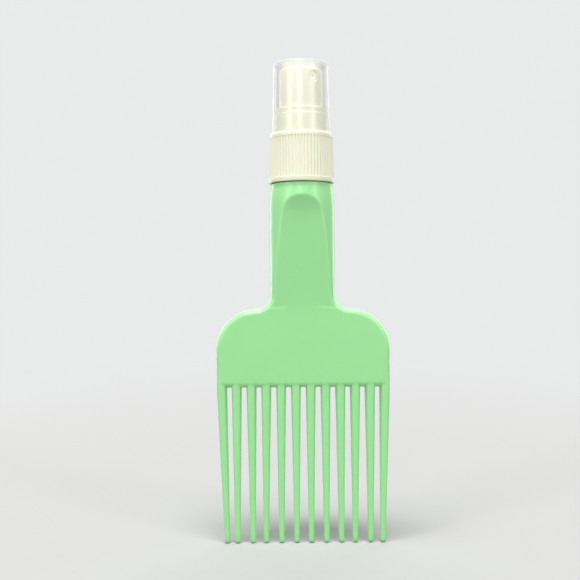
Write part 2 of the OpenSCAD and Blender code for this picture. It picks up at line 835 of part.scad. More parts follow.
module return_spring() {
    rings = coil_count * coil_rings;
    start_z = barrel_floor_z + stop_gap + wire_d / 2;
    points = [
        for (k = [0 : rings])
        let (a = k * 360 / coil_rings, z = start_z + k * coil_rise / coil_rings)
        for (i = [0 : wire_sides - 1])
        let (
            b = i * 360 / wire_sides,
            out = wire_d / 2 * cos(b),
            up = wire_d / 2 * sin(b)
        )
        [
            (coil_r + out) * cos(a) + up * sin(helix_angle) * sin(a),
            (coil_r + out) * sin(a) - up * sin(helix_angle) * cos(a),
            z + up * cos(helix_angle)
        ]
    ];
    n = wire_sides;
    sides = [
        for (k = [0 : rings - 1], i = [0 : n - 1])
        let (j = (i + 1) % n)
        each [[k * n + i, k * n + j, (k + 1) * n + i], [k * n + j, (k + 1) * n + j, (k + 1) * n + i]]
    ];
    color("#B9BCC0")
        polyhedron(points, concat(
            [[for (i = [n - 1 : -1 : 0]) i]],
            sides,
            [[for (i = [0 : n - 1]) rings * n + i]]
        ));
}

/* Ball and dip tube */

module check_ball() {
    color("#C9CDD2") translate([0, 0, ball_z]) sphere(ball_r);
}

module dip_tube() {
    end_z = floor_z + tube_end_gap;
    color("#F2F4F0")
        difference() {
            translate([0, 0, end_z]) cylinder(h = tube_top_z - push_gap - end_z, d = tube_d);
            translate([0, 0, end_z - cut]) cylinder(h = tube_top_z - end_z + 2 * cut, d = tube_bore_d);
            translate([-tube_d, -tube_d / 2, end_z])
                rotate([0, 45, 0])
                    translate([-tube_d, -tube_d / 2, -2 * tube_d])
                        cube([3 * tube_d, 2 * tube_d, 2 * tube_d]);
        }
}

comb_body();
closure();
hood();
actuator();
nozzle_insert();
pump_collar();
pump_housing();
neck_gasket();
stem();
poppet();
piston();
return_spring();
check_ball();
dip_tube();
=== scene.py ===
import math

import bpy
from mathutils import Matrix, Vector


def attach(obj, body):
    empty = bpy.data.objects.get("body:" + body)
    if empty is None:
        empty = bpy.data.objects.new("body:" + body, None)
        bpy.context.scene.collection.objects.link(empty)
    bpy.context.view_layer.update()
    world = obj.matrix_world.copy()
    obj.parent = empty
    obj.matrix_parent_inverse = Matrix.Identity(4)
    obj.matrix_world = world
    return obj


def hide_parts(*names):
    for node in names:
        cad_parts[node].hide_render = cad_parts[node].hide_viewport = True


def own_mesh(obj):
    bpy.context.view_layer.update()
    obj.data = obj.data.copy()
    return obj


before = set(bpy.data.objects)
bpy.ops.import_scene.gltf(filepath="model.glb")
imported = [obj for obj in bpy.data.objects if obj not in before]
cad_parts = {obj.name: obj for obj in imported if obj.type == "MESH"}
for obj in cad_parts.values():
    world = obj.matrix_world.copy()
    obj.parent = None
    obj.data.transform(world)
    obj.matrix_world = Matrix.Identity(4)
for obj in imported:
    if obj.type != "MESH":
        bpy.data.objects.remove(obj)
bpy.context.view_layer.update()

MM = 0.001

# Camera
# The photograph looks straight at the front from about 350 mm away and a little above the middle of the
# pick, which stands to the right of the picture's centre and leans a little to the left in it.
PHOTO_PIXELS = 580
FOCAL_PIXELS = 829
SENSOR = 36
CAMERA_X = -5.2
CAMERA_DISTANCE = 350
CAMERA_HEIGHT = 113
LOOK_DOWN = 0.955
ROLL = 0.5
bpy.ops.object.camera_add(
    location=(CAMERA_X * MM, -CAMERA_DISTANCE * MM, CAMERA_HEIGHT * MM),
    rotation=(math.radians(90 - LOOK_DOWN), math.radians(ROLL), 0),
)
camera = bpy.context.object
camera.name = "photo_camera"
camera.data.sensor_width = SENSOR
camera.data.lens = SENSOR * FOCAL_PIXELS / PHOTO_PIXELS
camera.data.clip_start = 0.01
bpy.context.scene.camera = camera

# Comb body: blade, flares and bottle handle
# One moulding of glossy green plastic in a two-part mould, closed along the middle. The handle is
# round, cut front and back by a sloping flat that ends in a cove, and flares out into the blade.
TEETH_LEN = 66.0
BLADE_TOP = 99.35
SHOULDER = 151.65
MOUTH = 168.8
HANDLE_R = 13.8
FLARE_R = 5.75
CORNER_R = 17.0
BLADE_HALF_W = 36.5
ROOT_HALF_T = 4.2
BLADE_SLOPE = math.tan(math.radians(2.918))
RIM_DEPTH = 2.4
RIM_POWER = 2.7
BEVEL_H = 2.2
BEVEL_POWER = 1.8
FLAT_Z = 101.05
FLAT_ANGLE = math.radians(7.6)
COVE_R = 18.0
COVE_END = math.radians(33)
CREASE_BLEND = 0.4
TAPER_Z = 141.15
TAPER_R = 53.03
NECK_R = 10.8
BORE_R = 9.2
BORE_FLOOR_R = 8.7
FLOOR_Z = 103.85
FLAT_WALL = 2.4
SHOULDER_ROUND = 0.5
RIM_BLEND = 0.5
RIM_BLEND_GROWTH = 1.1
RIM_BLEND_DROP = 30.0
HANDLE_FOOT_Z = 90.0
FADE_X = 6.0
FADE_W = 7.0
ON_OUTLINE = 0.000001


def clamped(share):
    return min(max(share, 0), 1)


def quarter_round(share, power):
    """A rounded rise from 0 to 1, which is a quarter of a circle at power 2 and squarer above it."""
    return (1 - (1 - clamped(share)) ** power) ** (1 / power)


def handle_radius(z):
    rise = max(z - TAPER_Z, 0)
    return HANDLE_R - TAPER_R + math.sqrt(TAPER_R**2 - rise**2)


def blade_half_t(z):
    return ROOT_HALF_T + (z - TEETH_LEN) * BLADE_SLOPE


COVE_FOOT_Y = HANDLE_R - COVE_R * (math.cos(FLAT_ANGLE) - math.cos(COVE_END))
COVE_FOOT_Z = FLAT_Z + (COVE_FOOT_Y - blade_half_t(FLAT_Z)) / math.tan(FLAT_ANGLE)


def flat_half_t(z):
    """How far a flat stands out from the middle: a straight slope, then the cove that ends it."""
    if z <= COVE_FOOT_Z:
        return blade_half_t(FLAT_Z) + (z - FLAT_Z) * math.tan(FLAT_ANGLE)
    turned = math.asin(min((z - COVE_FOOT_Z) / COVE_R + math.sin(FLAT_ANGLE), 1))
    return COVE_FOOT_Y + COVE_R * (math.cos(FLAT_ANGLE) - math.cos(turned))


def soft_min(a, b, blend):
    """The smaller of two values, with a soft turn where they are less than the blend apart."""
    share = max(blend - abs(a - b), 0) / blend
    return min(a, b) - share * share * blend / 4


def edge_distance(x, z):
    """How far a point of the front view lies inside the outline of the handle and the blade."""
    x = abs(x)
    if z >= BLADE_TOP + FLARE_R:
        return handle_radius(z) - x
    corner_x = BLADE_HALF_W - CORNER_R
    corner_z = BLADE_TOP - CORNER_R
    flare_x = HANDLE_R + FLARE_R
    if x > corner_x and z > corner_z:
        return CORNER_R - math.hypot(x - corner_x, z - corner_z)
    flare = math.hypot(flare_x - min(x, flare_x), BLADE_TOP + FLARE_R - z) - FLARE_R
    return min(flare, BLADE_HALF_W - x)


def half_depth(x, z):
    """How far the moulding's front face stands out from the parting plane at a point of the front view."""
    inside = edge_distance(x, z)
    if inside < ON_OUTLINE:
        return 0
    radius = handle_radius(z)
    off_axis = radius - min(inside, radius)
    round_side = math.sqrt(max(radius**2 - off_axis**2, 0))
    blend = RIM_BLEND + RIM_BLEND_GROWTH * clamped((COVE_FOOT_Z - z) / RIM_BLEND_DROP)
    handle = soft_min(round_side, flat_half_t(z), blend)
    rise = clamped((BLADE_TOP + FLARE_R - z) / FLARE_R)
    fade = clamped((abs(x) - FADE_X) / FADE_W)
    weight = 1 - (1 - rise * rise * (3 - 2 * rise)) * fade
    plate = blade_half_t(z) * quarter_round(inside / RIM_DEPTH, RIM_POWER) * weight
    depth = -soft_min(-handle, -plate, CREASE_BLEND) if z > HANDLE_FOOT_Z else plate
    return max(depth * quarter_round((z - TEETH_LEN) / BEVEL_H, BEVEL_POWER), 0)


# The front is laid out as rows of points that follow the outline down from the handle to the teeth. The
# middle of each row hangs below its ends by the drops, and points crowd together at the rounded rim.
SKIN_TOP = 147.6
FLARE_DROP = 8.2
CORNER_DROP = 16.6
HANDLE_ROWS = 84
FLARE_ROWS = 18
CORNER_ROWS = 40
EDGE_ROWS = 26
RIM_COLUMN_SHARES = [1 - math.cos(math.radians(a)) for a in (0, 12, 22, 32, 42, 52, 62, 71, 80)]
MIDDLE_COLUMNS = 68
SAG_POWER = 2.4


def outline_right():
    """The right-hand outline, as points with their inward normals and the height of each row's middle."""
    flare_z = BLADE_TOP + FLARE_R
    corner_x = BLADE_HALF_W - CORNER_R
    corner_z = BLADE_TOP - CORNER_R
    steps = []
    for i in range(HANDLE_ROWS):
        z = SKIN_TOP + (flare_z - SKIN_TOP) * i / HANDLE_ROWS
        steps.append((handle_radius(z), z, -1.0, 0.0, z))
    for i in range(FLARE_ROWS):
        turn = math.pi / 2 * i / FLARE_ROWS
        nx, nz = -math.cos(turn), -math.sin(turn)
        x = HANDLE_R + FLARE_R + FLARE_R * nx
        steps.append((x, flare_z + FLARE_R * nz, nx, nz, flare_z - FLARE_DROP * i / FLARE_ROWS))
    for i in range(CORNER_ROWS):
        turn = math.pi / 2 * (1 - i / CORNER_ROWS)
        nx, nz = -math.cos(turn), -math.sin(turn)
        middle = flare_z - FLARE_DROP - CORNER_DROP * i / CORNER_ROWS
        steps.append((corner_x - CORNER_R * nx, corner_z - CORNER_R * nz, nx, nz, middle))
    start = flare_z - FLARE_DROP - CORNER_DROP
    for i in range(EDGE_ROWS + 1):
        share = i / EDGE_ROWS
        z = corner_z + (TEETH_LEN - corner_z) * share
        steps.append((BLADE_HALF_W, z, -1.0, 0.0, start + (TEETH_LEN - start) * share))
    return steps


def skin_row(x, z, nx, nz, z_middle):
    """One row across the front, from the left outline to the right one."""
    rim = [(x + nx * RIM_DEPTH * share, z + nz * RIM_DEPTH * share) for share in RIM_COLUMN_SHARES]
    edge_x, edge_z = rim[-1]
    middle = []
    for i in range(1, MIDDLE_COLUMNS):
        across = 2 * i / MIDDLE_COLUMNS - 1
        middle.append((edge_x * across, z_middle + (edge_z - z_middle) * abs(across) ** SAG_POWER))
    plan = [(-px, pz) for px, pz in rim] + middle + rim[::-1]
    return [(px, -half_depth(px, pz), pz) for px, pz in plan]


skin = [skin_row(*step) for step in outline_right()]
skin[-1] = [(point[0], 0.0, TEETH_LEN) for point in skin[-1]]
handle_top_r = handle_radius(SKIN_TOP)
angles = [math.asin(max(-1, min(1, point[0] / handle_top_r))) for point in skin[0]]


def ring(radius, z, limit=HANDLE_R):
    """Half a ring of points round the handle's axis, cut flat where the limit is less than its radius."""
    return [(radius * math.sin(a), -min(radius * math.cos(a), limit), z) for a in angles]


def deselect():
    if bpy.context.mode != "OBJECT":
        bpy.ops.object.mode_set(mode="OBJECT")
    bpy.ops.object.select_all(action="DESELECT")


def select_only(piece):
    deselect()
    piece.select_set(True)
    bpy.context.view_layer.objects.active = piece


def named(name):
    """The object that an operator has just added, with its name."""
    piece = bpy.context.object
    piece.name = piece.data.name = name
    return piece


def close_mesh(piece, merge_mm=0.002):
    """Doubles merged, stray edges gone, small ends capped and faces turned outwards."""
    select_only(piece)
    bpy.ops.object.mode_set(mode="EDIT")
    bpy.ops.mesh.select_all(action="SELECT")
    bpy.ops.mesh.remove_doubles(threshold=merge_mm * MM)
    bpy.ops.mesh.delete_loose()
    bpy.ops.mesh.select_all(action="SELECT")
    bpy.ops.mesh.fill_holes(sides=4)
    bpy.ops.mesh.normals_make_consistent(inside=False)
    bpy.ops.object.mode_set(mode="OBJECT")


def apply_modifier(piece, kind, **settings):
    select_only(piece)
    modifier = piece.modifiers.new(kind.lower(), kind)
    for name, value in settings.items():
        setattr(modifier, name, value)
    bpy.ops.object.modifier_apply(modifier=modifier.name)


def combine(piece, other, operation):
    """The other solid is joined to the piece or cut out of it, and is then gone."""
    apply_modifier(piece, "BOOLEAN", operation=operation, solver="EXACT", object=other)
    bpy.data.objects.remove(other)


def grid_piece(name, points):
    """A grid of quads laid through rows of points, which are in millimetres."""
    rows, columns = len(points), len(points[0])
    deselect()
    bpy.ops.mesh.primitive_grid_add(x_subdivisions=columns - 1, y_subdivisions=rows - 1, size=1)
    piece = named(name)
    for vertex in piece.data.vertices:
        column = round((vertex.co.x + 0.5) * (columns - 1))
        row = round((vertex.co.y + 0.5) * (rows - 1))
        vertex.co = Vector(points[row][column]) * MM
    return piece


# From the handle's top the rings go round the shoulder, up the neck, over the mouth and down the bore
HANDLE_RINGS = 7
NECK_FILLET = 0.3
MOUTH_CHAMFER = 0.5
BORE_CHAMFER = 0.3
BORE_RINGS = 40
BORE_FOOT = 0.8
BORE_FOOT_ROUND = 0.25
COVE_WALL_H = 7.0
MIRROR_MERGE = 0.001
rings = []
for i in range(1, HANDLE_RINGS + 1):
    z = SKIN_TOP + (SHOULDER - SHOULDER_ROUND - SKIN_TOP) * i / HANDLE_RINGS
    rings.append(ring(handle_radius(z), z))
shoulder_edge = handle_radius(SHOULDER - SHOULDER_ROUND)
for a in (30, 60, 90):
    turn = math.radians(a)
    rings.append(ring(
        shoulder_edge - SHOULDER_ROUND * (1 - math.cos(turn)),
        SHOULDER - SHOULDER_ROUND * (1 - math.sin(turn)),
    ))
rings += [
    ring(NECK_R + NECK_FILLET, SHOULDER),
    ring(NECK_R + NECK_FILLET * 0.3, SHOULDER + NECK_FILLET * 0.3),
    ring(NECK_R, SHOULDER + NECK_FILLET),
]
rings += [ring(NECK_R, SHOULDER + rise) for rise in (4, 8, 12, 16)]
rings += [ring(NECK_R, MOUTH - MOUTH_CHAMFER), ring(NECK_R - MOUTH_CHAMFER, MOUTH)]
rings += [ring(BORE_R + BORE_CHAMFER, MOUTH), ring(BORE_R, MOUTH - BORE_CHAMFER)]
for i in range(1, BORE_RINGS + 1):
    z = MOUTH - BORE_CHAMFER + (FLOOR_Z + BORE_FOOT - MOUTH + BORE_CHAMFER) * i / BORE_RINGS
    radius = BORE_FLOOR_R + (BORE_R - BORE_FLOOR_R) * (z - FLOOR_Z) / (MOUTH - FLOOR_Z)
    rings.append(ring(radius, z, flat_half_t(z) - FLAT_WALL if z < COVE_FOOT_Z + COVE_WALL_H else HANDLE_R))
floor_t = flat_half_t(FLOOR_Z) - FLAT_WALL
for inset, lift in ((BORE_FOOT_ROUND, BORE_FOOT_ROUND), (BORE_FOOT, 0)):
    rings.append(ring(BORE_FLOOR_R - inset, FLOOR_Z + lift, floor_t - inset))
rings += [ring(BORE_FLOOR_R * share, FLOOR_Z, floor_t * share) for share in (0.6, 0.3, 0.0)]
comb_body = grid_piece("comb_body_moulding", rings[::-1] + skin)
apply_modifier(
    comb_body, "MIRROR", use_axis=(False, True, False), use_clip=True, merge_threshold=MIRROR_MERGE * MM,
)
close_mesh(comb_body)

# The teeth are part of the same moulding. Each is drawn up from its blunt round tip ring by ring, and
# no two stand quite alike: the outer ones lean inwards and the others wander a little.
TOOTH_COUNT = 12
TOOTH_ROOT_W = 4.2
TOOTH_TIP_W = 2.3
TOOTH_TIP_T = 2.5
TOOTH_TIP_ROUND = 1.4
TOOTH_SIDES = 36
ROOT_HEIGHTS = (2.5, 5.0)
ROOT_SINK = 0.06
LENS_POWER = 3.4
EDGE_INSET = 0.05
TOOTH_PITCH = (2 * BLADE_HALF_W - TOOTH_ROOT_W - 2 * EDGE_INSET) / (TOOTH_COUNT - 1)
TOOTH_BEND = (1.75, -0.1, 0.15, -0.5, -0.2, 0, -0.1, 0.12, 0.15, -0.3, 0, -1.1)


def tooth_section(z):
    """Width and depth of a tooth at a height."""
    if z < TOOTH_TIP_ROUND:
        grown = math.sqrt(max(1 - (1 - z / TOOTH_TIP_ROUND) ** 2, 0))
        return TOOTH_TIP_W * grown, TOOTH_TIP_T * grown
    share = min((z - TOOTH_TIP_ROUND) / (TEETH_LEN - TOOTH_TIP_ROUND), 1)
    width = TOOTH_TIP_W + (TOOTH_ROOT_W - TOOTH_TIP_W) * share
    if z > TEETH_LEN:
        return width, 2 * blade_half_t(z) - ROOT_SINK * (z - TEETH_LEN)
    return width, TOOTH_TIP_T + (2 * ROOT_HALF_T - TOOTH_TIP_T) * share


SHAFT_RINGS = 24
heights = [TOOTH_TIP_ROUND * (1 - math.cos(math.radians(a))) for a in (12, 24, 38, 54, 72, 90)]
for i in range(1, SHAFT_RINGS + 1):
    heights.append(TOOTH_TIP_ROUND + (TEETH_LEN - TOOTH_TIP_ROUND) * i / SHAFT_RINGS)
heights += [TEETH_LEN + rise for rise in ROOT_HEIGHTS]
deselect()
bpy.ops.mesh.primitive_circle_add(
    vertices=TOOTH_SIDES, radius=0.5, fill_type="NGON", location=(0, 0, heights[0] * MM),
)
tooth = named("tooth")
bpy.ops.object.transform_apply(location=True)
width, depth = tooth_section(heights[0])
for vertex in tooth.data.vertices:
    across, through = vertex.co.x * 2, vertex.co.y * 2
    vertex.co.x = math.copysign(abs(across) ** (2 / LENS_POWER), across) * width / 2 * MM
    vertex.co.y = math.copysign(abs(through) ** (2 / LENS_POWER), through) * depth / 2 * MM
bpy.ops.object.mode_set(mode="EDIT")
bpy.ops.mesh.select_all(action="SELECT")
for below, above in zip(heights, heights[1:]):
    bpy.ops.mesh.extrude_region_move(TRANSFORM_OT_translate={"value": (0, 0, (above - below) * MM)})
    (w0, d0), (w1, d1) = tooth_section(below), tooth_section(above)
    bpy.ops.transform.resize(value=(w1 / w0, d1 / d0, 1))
bpy.ops.object.mode_set(mode="OBJECT")
close_mesh(tooth)
teeth = []
for number in range(TOOTH_COUNT):
    select_only(tooth)
    bpy.ops.object.duplicate()
    one = bpy.context.object
    x = (number - (TOOTH_COUNT - 1) / 2) * TOOTH_PITCH
    for vertex in one.data.vertices:
        below = max(1 - vertex.co.z / (TEETH_LEN * MM), 0)
        vertex.co.x += (x + TOOTH_BEND[number] * below) * MM
    teeth.append(one)
bpy.data.objects.remove(tooth)
deselect()
for one in teeth:
    one.select_set(True)
bpy.context.view_layer.objects.active = teeth[0]
bpy.ops.object.join()
combine(comb_body, bpy.context.object, "UNION")

# The neck's thread climbs one and a half turns, and fades out at both ends
PITCH = 3.175
THREAD_TURNS = 1.5
THREAD_R = 11.85
THREAD_START = 2.2
THREAD_HALF_W = 1.05
CREST_HALF_W = 0.47
THREAD_BURY = 0.3
THREAD_STEPS = 48
THREAD_FADE_STEPS = 8
CREST_SINK = 0.05
TOUCH = 0.01
NECK_THREAD_Z = MOUTH - THREAD_START - THREAD_TURNS * PITCH


def thread_piece(name, wall_r, crest_r, root_half_w, crest_half_w, start_z):
    """A four-sided section drawn round and up: its root lies in the wall and its crest stands clear."""
    root_r = wall_r + math.copysign(THREAD_BURY, wall_r - crest_r)
    deselect()
    bpy.ops.mesh.primitive_plane_add(size=1, rotation=(math.radians(90), 0, 0))
    thread = named(name)
    bpy.ops.object.transform_apply(rotation=True)
    for vertex in thread.data.vertices:
        at_crest = vertex.co.x > 0
        half_w = crest_half_w if at_crest else root_half_w
        z = start_z + math.copysign(half_w, vertex.co.z)
        vertex.co = Vector((crest_r if at_crest else root_r, 0, z)) * MM
    apply_modifier(
        thread, "SCREW", axis="Z", angle=2 * math.pi * THREAD_TURNS, screw_offset=PITCH * THREAD_TURNS * MM,
        steps=round(THREAD_STEPS * THREAD_TURNS), render_steps=round(THREAD_STEPS * THREAD_TURNS),
    )
    last = THREAD_STEPS * THREAD_TURNS
    for vertex in thread.data.vertices:
        radius = math.hypot(vertex.co.x, vertex.co.y) / MM
        if abs(radius - crest_r) > TOUCH:
            continue
        step = round((vertex.co.z / MM - start_z) / PITCH * THREAD_STEPS)
        grown = clamped(min(step, last - step) / THREAD_FADE_STEPS)
        wanted = wall_r + (crest_r - wall_r) * grown - math.copysign(CREST_SINK, crest_r - wall_r)
        vertex.co.x *= wanted / radius
        vertex.co.y *= wanted / radius
    close_mesh(thread)
    return thread


combine(comb_body, thread_piece(
    "neck_thread", NECK_R, THREAD_R, THREAD_HALF_W, CREST_HALF_W, NECK_THREAD_Z,
), "UNION")
select_only(comb_body)
bpy.ops.object.shade_smooth_by_angle(angle=math.radians(32))


def linear(colour):
    """A colour as it looks on a screen, turned to the linear light that a shader works in."""
    channels = [int(colour[i : i + 2], 16) / 255 for i in (1, 3, 5)]
    return [c / 12.92 if c <= 0.04045 else ((c + 0.055) / 1.055) ** 2.4 for c in channels] + [1]


def add_node(owner, kind, inputs=(), **settings):
    """Adds a node with its settings and its inputs, each a value or another node's output."""
    node = owner.node_tree.nodes.new(kind)
    for name, value in settings.items():
        setattr(node, name, value)
    for socket, value in dict(inputs).items():
        if isinstance(value, bpy.types.NodeSocket):
            owner.node_tree.links.new(value, node.inputs[socket])
        else:
            node.inputs[socket].default_value = value
    return node


# Sizes in the surface of every moulding, in millimetres: how far its colour drifts, its grain, and its
# specks of dust. The specks are drawn coarser than real dust, which would be too fine to see from here.
DRIFT_SIZE = 24.0
GRAIN_SIZE = 0.8
GRAIN_DEPTH = 0.003
SPECK_GAP = 7.0
SPECK_SIZE = 0.3
SPECK_CHANCE = 0.38
SPECK_CORE_SHARE = 0.3
DULLER = 0.06
GLOSSIER = 0.05


def moulded_plastic(name, colour, shade, speck_colour, roughness, wave_mm, wave_depth, constants):
    """A moulded thermoplastic: its colour drifts a little, and its glossy skin is faintly wavy where it
    sank as it cooled, with a fine grain from the mould and a few specks of dust."""
    material = bpy.data.materials.new(name)
    material.use_nodes = True
    shader = material.node_tree.nodes["Principled BSDF"]
    links = material.node_tree.links
    place = add_node(material, "ShaderNodeTexCoord").outputs["Object"]
    drift = add_node(
        material, "ShaderNodeTexNoise", {"Vector": place, "Scale": 1 / (DRIFT_SIZE * MM), "Detail": 3},
    )
    # Inputs 6 and 7 and output 2 of this node are its two colours and their mix
    tint = add_node(
        material, "ShaderNodeMix", {0: drift.outputs["Fac"], 6: linear(colour), 7: linear(shade)},
        data_type="RGBA",
    )
    cells = add_node(material, "ShaderNodeTexVoronoi", {"Vector": place, "Scale": 1 / (SPECK_GAP * MM)})
    speck = add_node(material, "ShaderNodeMapRange", {
        "Value": cells.outputs["Distance"],
        "From Min": SPECK_SIZE / SPECK_GAP, "From Max": SPECK_CORE_SHARE * SPECK_SIZE / SPECK_GAP,
    })
    chosen = add_node(material, "ShaderNodeMath", {
        0: cells.outputs["Color"], 1: 1 - SPECK_CHANCE,
    }, operation="GREATER_THAN")
    dust = add_node(
        material, "ShaderNodeMath", {0: speck.outputs["Result"], 1: chosen.outputs["Value"]},
        operation="MULTIPLY",
    )
    dusty = add_node(
        material, "ShaderNodeMix", {0: dust.outputs["Value"], 6: tint.outputs[2], 7: linear(speck_colour)},
        data_type="RGBA",
    )
    grain = add_node(
        material, "ShaderNodeTexNoise", {"Vector": place, "Scale": 1 / (GRAIN_SIZE * MM), "Detail": 4},
    )
    wave = add_node(
        material, "ShaderNodeTexNoise", {"Vector": place, "Scale": 1 / (wave_mm * MM), "Detail": 1},
    )
    gloss = add_node(material, "ShaderNodeMapRange", {
        "Value": grain.outputs["Fac"], "To Min": roughness - GLOSSIER, "To Max": roughness + DULLER,
    })
    height = add_node(
        material, "ShaderNodeMath",
        {0: wave.outputs["Fac"], 1: wave_depth / GRAIN_DEPTH, 2: grain.outputs["Fac"]},
        operation="MULTIPLY_ADD",
    )
    bump = add_node(
        material, "ShaderNodeBump", {"Height": height.outputs["Value"], "Distance": GRAIN_DEPTH * MM},
    )
    links.new(dusty.outputs[2], shader.inputs["Base Color"])
    links.new(gloss.outputs["Result"], shader.inputs["Roughness"])
    links.new(bump.outputs["Normal"], shader.inputs["Normal"])
    for socket, value in constants.items():
        shader.inputs[socket].default_value = value
    return material


def dress(piece, material, slot, body, *nodes):
    """Gives a new piece its material and its body, and hides the nodes that it stands for. The slot is not
    used.
    """
    piece.data.materials.clear()
    piece.data.materials.append(material)
    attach(piece, body)
    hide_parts(*nodes)


# ABS, moulded: an even light green with a soft gloss that draws a pale line along every rounded edge
comb_green = moulded_plastic("comb green moulded ABS", "#9CDF99", "#96DA93", "#DDF4DA", 0.3, 18, 0.18, {
    "IOR": 1.53, "Subsurface Weight": 0.12, "Subsurface Scale": 1.5 * MM,
    "Subsurface Radius": (1.0, 1.2, 0.9),
})
dress(comb_body, comb_green, "comb_green", "comb", "comb_body")

# Pump
# The working parts inside the closure and the bottle, most of them of unpigmented polyethylene or
# polypropylene, pushed together. Their shapes come with the frame, and each gets its real finish.
# Unpigmented polyethylene, moulded or extruded: milky and soft to look at, with a dull waxy gloss
milky_pe = moulded_plastic("unpigmented polyethylene", "#E4E6DC", "#DCDFD4", "#F2F2EA", 0.45, 6, 0.01, {
    "IOR": 1.51, "Subsurface Weight": 0.3, "Subsurface Scale": 1.0 * MM,
})
# The gasket is a cut ring of foamed polyethylene: grey and quite matt
foam_grey = moulded_plastic(
    "grey foamed polyethylene", "#C9CBC6", "#BEC1BC", "#DADCD8", 0.75, 2, 0.03, {"IOR": 1.5},
)
# The piston is tinted, so that it is told from the stem when the pump is put together
piston_blue = moulded_plastic("tinted polyethylene", "#C3D3E2", "#B9CADB", "#DCE5EE", 0.4, 6, 0.01, {
    "IOR": 1.51, "Subsurface Weight": 0.25, "Subsurface Scale": 1.0 * MM,
})
# Stainless steel, drawn for the spring and ground for the ball: bright, with fine marks all over it
STEEL_MARK = 0.4
steel = bpy.data.materials.new("drawn stainless steel")
steel.use_nodes = True
steel_shader = steel.node_tree.nodes["Principled BSDF"]
steel_shader.inputs["Base Color"].default_value = linear("#C4C5C6")
steel_shader.inputs["Metallic"].default_value = 1
steel_place = add_node(steel, "ShaderNodeTexCoord").outputs["Object"]
steel_marks = add_node(
    steel, "ShaderNodeTexNoise", {"Vector": steel_place, "Scale": 1 / (STEEL_MARK * MM), "Detail": 3},
)
steel_gloss = add_node(
    steel, "ShaderNodeMapRange", {"Value": steel_marks.outputs["Fac"], "To Min": 0.16, "To Max": 0.32},
)
steel.node_tree.links.new(steel_gloss.outputs["Result"], steel_shader.inputs["Roughness"])
for names, material in (
    (("pump_collar", "pump_housing", "stem", "poppet", "dip_tube"), milky_pe),
    (("neck_gasket",), foam_grey),
    (("piston",), piston_blue),
    (("return_spring", "check_ball"), steel),
):
    for name in names:
        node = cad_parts[name]
        node.data.materials.clear()
        node.data.materials.append(material)
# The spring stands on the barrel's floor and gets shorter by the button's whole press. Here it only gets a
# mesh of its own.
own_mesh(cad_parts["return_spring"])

# Closure
# The white screw closure is one polypropylene moulding: a skirt with 60 finger ribs and a thread inside,
# the sleeve that the hood grips, and the ring that the button dips into. It screws onto the neck.
CLOSURE_Z = 151.9
CLOSURE_TOP = 172.4
CLOSURE_R = 13.8
CLOSURE_TOP_R = 13.4
CLOSURE_ROUND = 0.8
CLOSURE_BORE_R = 12.25
FLANGE_TOP = 171.0
LEDGE_R = 7.1
SLEEVE_TOP = 180.3
RING_TOP = 182.9
RING_R = 10.7
RING_ROUND = 0.6
RING_BORE_R = 9.5
HOOD_R = 12.45
HOOD_TOP_R = 11.75
HOOD_TOP = 201.7
HOOD_WALL = 0.9
HOOD_GAP = 0.1
BAND_TOP = 153.6
RIB_TOP = 170.6
RIB_COUNT = 60
RIB_STEPS = 10
RIB_FADE = 0.35
RIB_SINK = 0.07
GROOVE_R = 0.5
GROOVE_DEPTH = 0.3
EDGE = 0.3
SMALL_EDGE = 0.2
SLEEVE_FILLET = 0.15
RING_FILLET = 0.12


def arc(x, z, radius, start, end, steps=5):
    """Points on a round corner of a section, from one angle to another."""
    angles = [math.radians(start + (end - start) * i / steps) for i in range(steps + 1)]
    return [(x + radius * math.cos(a), z + radius * math.sin(a)) for a in angles]


def skirt_r(z):
    return CLOSURE_R - (z - CLOSURE_Z) / (CLOSURE_TOP - CLOSURE_Z) * (CLOSURE_R - CLOSURE_TOP_R)


def hood_r(z):
    return HOOD_R - (z - CLOSURE_TOP) / (HOOD_TOP - CLOSURE_TOP) * (HOOD_R - HOOD_TOP_R)


def sleeve_r(z):
    return hood_r(z) - HOOD_WALL - HOOD_GAP


def spun_piece(name, section, steps=120, turn=360.0):
    """A closed section, drawn as radius and height, and spun round the pick's axis."""
    deselect()
    bpy.ops.mesh.primitive_circle_add(vertices=len(section), radius=1)
    piece = named(name)
    for vertex, (radius, z) in zip(piece.data.vertices, section):
        vertex.co = Vector((radius, 0, z)) * MM
    bpy.ops.object.mode_set(mode="EDIT")
    bpy.ops.mesh.select_all(action="SELECT")
    bpy.ops.mesh.spin(steps=steps, angle=math.radians(turn), center=(0, 0, 0), axis=(0, 0, 1))
    bpy.ops.object.mode_set(mode="OBJECT")
    return piece


